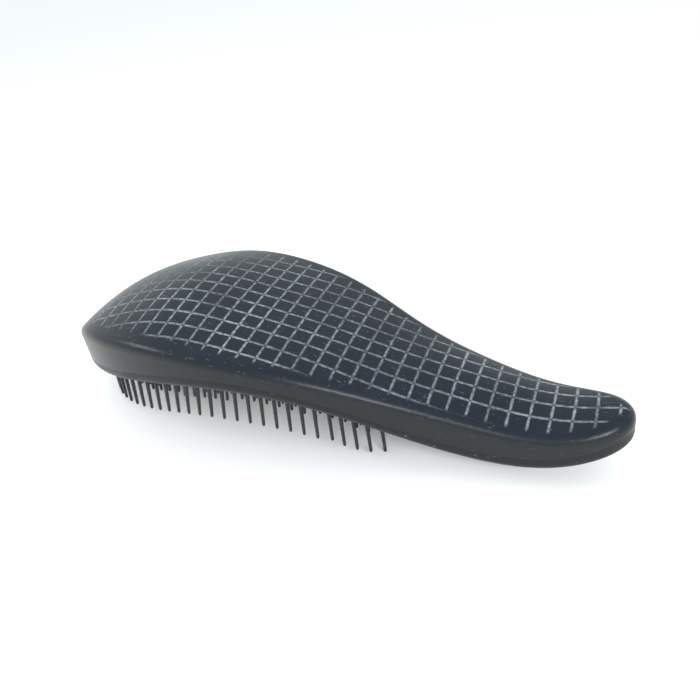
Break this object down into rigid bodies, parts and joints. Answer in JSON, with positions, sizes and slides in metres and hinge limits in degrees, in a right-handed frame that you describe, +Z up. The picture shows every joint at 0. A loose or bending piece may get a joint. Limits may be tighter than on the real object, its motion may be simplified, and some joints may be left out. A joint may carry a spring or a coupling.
{
  "type": "detangling hair brush",
  "caption": "Handheld detangling hair brush: a wide arched head that tapers into the handle, a hollow two-shell body and a pad of alternating long and short bristles that flex.",
  "frame": {"origin": "middle of the length and width, at the height of the lowest bristle tips", "axes": "+X from the head to the handle end, +Y to the left seen from the head, +Z up through the cover"},
  "size_m": [0.19, 0.0654, 0.046],
  "materials": {
    "cover": "satin gloss with a pale grid",
    "frame": "satin",
    "pad": "matt",
    "bristles": "satin"
  },
  "bodies": {
    "brush_body": {"top_shell": "cover", "lower_shell": "frame", "bristle_pad": "pad"},
    "row_01": {"bristle_row_01": "bristles"},
    "row_02": {"bristle_row_02": "bristles"},
    "row_03": {"bristle_row_03": "bristles"},
    "row_04": {"bristle_row_04": "bristles"},
    "row_05": {"bristle_row_05": "bristles"},
    "row_06": {"bristle_row_06": "bristles"},
    "row_07": {"bristle_row_07": "bristles"},
    "row_08": {"bristle_row_08": "bristles"},
    "row_09": {"bristle_row_09": "bristles"},
    "row_10": {"bristle_row_10": "bristles"},
    "row_11": {"bristle_row_11": "bristles"},
    "row_12": {"bristle_row_12": "bristles"},
    "row_13": {"bristle_row_13": "bristles"},
    "row_14": {"bristle_row_14": "bristles"},
    "row_15": {"bristle_row_15": "bristles"},
    "row_16": {"bristle_row_16": "bristles"},
    "row_17": {"bristle_row_17": "bristles"},
    "row_18": {"bristle_row_18": "bristles"},
    "row_19": {"bristle_row_19": "bristles"},
    "row_20": {"bristle_row_20": "bristles"},
    "row_21": {"bristle_row_21": "bristles"},
    "row_22": {"bristle_row_22": "bristles"},
    "row_23": {"bristle_row_23": "bristles"},
    "row_24": {"bristle_row_24": "bristles"},
    "row_25": {"bristle_row_25": "bristles"},
    "row_26": {"bristle_row_26": "bristles"},
    "row_27": {"bristle_row_27": "bristles"},
    "row_28": {"bristle_row_28": "bristles"}
  },
  "joints": [
    {"name": "row_01_flex", "type": "hinge", "parent": "brush_body", "child": "row_01", "pos_m": [-0.0862, 0, 0.01684], "axis": [0, -1, 0], "range_deg": [-15, 15], "stiffness_Nm_per_rad": 0.03},
    {"name": "row_02_flex", "type": "hinge", "parent": "brush_body", "child": "row_02", "pos_m": [-0.08069, 0, 0.01884], "axis": [0, -1, 0], "range_deg": [-15, 15], "stiffness_Nm_per_rad": 0.03},
    {"name": "row_03_flex", "type": "hinge", "parent": "brush_body", "child": "row_03", "pos_m": [-0.07527, 0, 0.02062], "axis": [0, -1, 0], "range_deg": [-15, 15], "stiffness_Nm_per_rad": 0.03},
    {"name": "row_04_flex", "type": "hinge", "parent": "brush_body", "child": "row_04", "pos_m": [-0.06994, 0, 0.02219], "axis": [0, -1, 0], "range_deg": [-15, 15], "stiffness_Nm_per_rad": 0.03},
    {"name": "row_05_flex", "type": "hinge", "parent": "brush_body", "child": "row_05", "pos_m": [-0.06471, 0, 0.02361], "axis": [0, -1, 0], "range_deg": [-15, 15], "stiffness_Nm_per_rad": 0.03},
    {"name": "row_06_flex", "type": "hinge", "parent": "brush_body", "child": "row_06", "pos_m": [-0.05958, 0, 0.02491], "axis": [0, -1, 0], "range_deg": [-15, 15], "stiffness_Nm_per_rad": 0.03},
    {"name": "row_07_flex", "type": "hinge", "parent": "brush_body", "child": "row_07", "pos_m": [-0.05454, 0, 0.02611], "axis": [0, -1, 0], "range_deg": [-15, 15], "stiffness_Nm_per_rad": 0.03},
    {"name": "row_08_flex", "type": "hinge", "parent": "brush_body", "child": "row_08", "pos_m": [-0.0496, 0, 0.02721], "axis": [0, -1, 0], "range_deg": [-15, 15], "stiffness_Nm_per_rad": 0.03},
    {"name": "row_09_flex", "type": "hinge", "parent": "brush_body", "child": "row_09", "pos_m": [-0.04475, 0, 0.02821], "axis": [0, -1, 0], "range_deg": [-15, 15], "stiffness_Nm_per_rad": 0.03},
    {"name": "row_10_flex", "type": "hinge", "parent": "brush_body", "child": "row_10", "pos_m": [-0.04, 0, 0.02908], "axis": [0, -1, 0], "range_deg": [-15, 15], "stiffness_Nm_per_rad": 0.03},
    {"name": "row_11_flex", "type": "hinge", "parent": "brush_body", "child": "row_11", "pos_m": [-0.03534, 0, 0.02983], "axis": [0, -1, 0], "range_deg": [-15, 15], "stiffness_Nm_per_rad": 0.03},
    {"name": "row_12_flex", "type": "hinge", "parent": "brush_body", "child": "row_12", "pos_m": [-0.03078, 0, 0.03044], "axis": [0, -1, 0], "range_deg": [-15, 15], "stiffness_Nm_per_rad": 0.03},
    {"name": "row_13_flex", "type": "hinge", "parent": "brush_body", "child": "row_13", "pos_m": [-0.02631, 0, 0.03089], "axis": [0, -1, 0], "range_deg": [-15, 15], "stiffness_Nm_per_rad": 0.03},
    {"name": "row_14_flex", "type": "hinge", "parent": "brush_body", "child": "row_14", "pos_m": [-0.02193, 0, 0.03117], "axis": [0, -1, 0], "range_deg": [-15, 15], "stiffness_Nm_per_rad": 0.03},
    {"name": "row_15_flex", "type": "hinge", "parent": "brush_body", "child": "row_15", "pos_m": [-0.01766, 0, 0.03127], "axis": [0, -1, 0], "range_deg": [-15, 15], "stiffness_Nm_per_rad": 0.03},
    {"name": "row_16_flex", "type": "hinge", "parent": "brush_body", "child": "row_16", "pos_m": [-0.01348, 0, 0.03117], "axis": [0, -1, 0], "range_deg": [-15, 15], "stiffness_Nm_per_rad": 0.03},
    {"name": "row_17_flex", "type": "hinge", "parent": "brush_body", "child": "row_17", "pos_m": [-0.00939, 0, 0.03087], "axis": [0, -1, 0], "range_deg": [-15, 15], "stiffness_Nm_per_rad": 0.03},
    {"name": "row_18_flex", "type": "hinge", "parent": "brush_body", "child": "row_18", "pos_m": [-0.00539, 0, 0.03037], "axis": [0, -1, 0], "range_deg": [-15, 15], "stiffness_Nm_per_rad": 0.03},
    {"name": "row_19_flex", "type": "hinge", "parent": "brush_body", "child": "row_19", "pos_m": [-0.0015, 0, 0.02968], "axis": [0, -1, 0], "range_deg": [-15, 15], "stiffness_Nm_per_rad": 0.03},
    {"name": "row_20_flex", "type": "hinge", "parent": "brush_body", "child": "row_20", "pos_m": [0.00231, 0, 0.0288], "axis": [0, -1, 0], "range_deg": [-15, 15], "stiffness_Nm_per_rad": 0.03},
    {"name": "row_21_flex", "type": "hinge", "parent": "brush_body", "child": "row_21", "pos_m": [0.00601, 0, 0.02773], "axis": [0, -1, 0], "range_deg": [-15, 15], "stiffness_Nm_per_rad": 0.03},
    {"name": "row_22_flex", "type": "hinge", "parent": "brush_body", "child": "row_22", "pos_m": [0.00963, 0, 0.02648], "axis": [0, -1, 0], "range_deg": [-15, 15], "stiffness_Nm_per_rad": 0.03},
    {"name": "row_23_flex", "type": "hinge", "parent": "brush_body", "child": "row_23", "pos_m": [0.01314, 0, 0.02509], "axis": [0, -1, 0], "range_deg": [-15, 15], "stiffness_Nm_per_rad": 0.03},
    {"name": "row_24_flex", "type": "hinge", "parent": "brush_body", "child": "row_24", "pos_m": [0.01657, 0, 0.02363], "axis": [0, -1, 0], "range_deg": [-15, 15], "stiffness_Nm_per_rad": 0.03},
    {"name": "row_25_flex", "type": "hinge", "parent": "brush_body", "child": "row_25", "pos_m": [0.01989, 0, 0.02214], "axis": [0, -1, 0], "range_deg": [-15, 15], "stiffness_Nm_per_rad": 0.03},
    {"name": "row_26_flex", "type": "hinge", "parent": "brush_body", "child": "row_26", "pos_m": [0.02313, 0, 0.02066], "axis": [0, -1, 0], "range_deg": [-15, 15], "stiffness_Nm_per_rad": 0.03},
    {"name": "row_27_flex", "type": "hinge", "parent": "brush_body", "child": "row_27", "pos_m": [0.02626, 0, 0.01925], "axis": [0, -1, 0], "range_deg": [-15, 15], "stiffness_Nm_per_rad": 0.03},
    {"name": "row_28_flex", "type": "hinge", "parent": "brush_body", "child": "row_28", "pos_m": [0.02931, 0, 0.01792], "axis": [0, -1, 0], "range_deg": [-15, 15], "stiffness_Nm_per_rad": 0.03}
  ],
  "couplings": [
    {"joint": "row_01_flex", "follows": "row_14_flex", "ratio": 1},
    {"joint": "row_02_flex", "follows": "row_14_flex", "ratio": 1},
    {"joint": "row_03_flex", "follows": "row_14_flex", "ratio": 1},
    {"joint": "row_04_flex", "follows": "row_14_flex", "ratio": 1},
    {"joint": "row_05_flex", "follows": "row_14_flex", "ratio": 1},
    {"joint": "row_06_flex", "follows": "row_14_flex", "ratio": 1},
    {"joint": "row_07_flex", "follows": "row_14_flex", "ratio": 1},
    {"joint": "row_08_flex", "follows": "row_14_flex", "ratio": 1},
    {"joint": "row_09_flex", "follows": "row_14_flex", "ratio": 1},
    {"joint": "row_10_flex", "follows": "row_14_flex", "ratio": 1},
    {"joint": "row_11_flex", "follows": "row_14_flex", "ratio": 1},
    {"joint": "row_12_flex", "follows": "row_14_flex", "ratio": 1},
    {"joint": "row_13_flex", "follows": "row_14_flex", "ratio": 1},
    {"joint": "row_15_flex", "follows": "row_14_flex", "ratio": 1},
    {"joint": "row_16_flex", "follows": "row_14_flex", "ratio": 1},
    {"joint": "row_17_flex", "follows": "row_14_flex", "ratio": 1},
    {"joint": "row_18_flex", "follows": "row_14_flex", "ratio": 1},
    {"joint": "row_19_flex", "follows": "row_14_flex", "ratio": 1},
    {"joint": "row_20_flex", "follows": "row_14_flex", "ratio": 1},
    {"joint": "row_21_flex", "follows": "row_14_flex", "ratio": 1},
    {"joint": "row_22_flex", "follows": "row_14_flex", "ratio": 1},
    {"joint": "row_23_flex", "follows": "row_14_flex", "ratio": 1},
    {"joint": "row_24_flex", "follows": "row_14_flex", "ratio": 1},
    {"joint": "row_25_flex", "follows": "row_14_flex", "ratio": 1},
    {"joint": "row_26_flex", "follows": "row_14_flex", "ratio": 1},
    {"joint": "row_27_flex", "follows": "row_14_flex", "ratio": 1},
    {"joint": "row_28_flex", "follows": "row_14_flex", "ratio": 1}
  ]
}
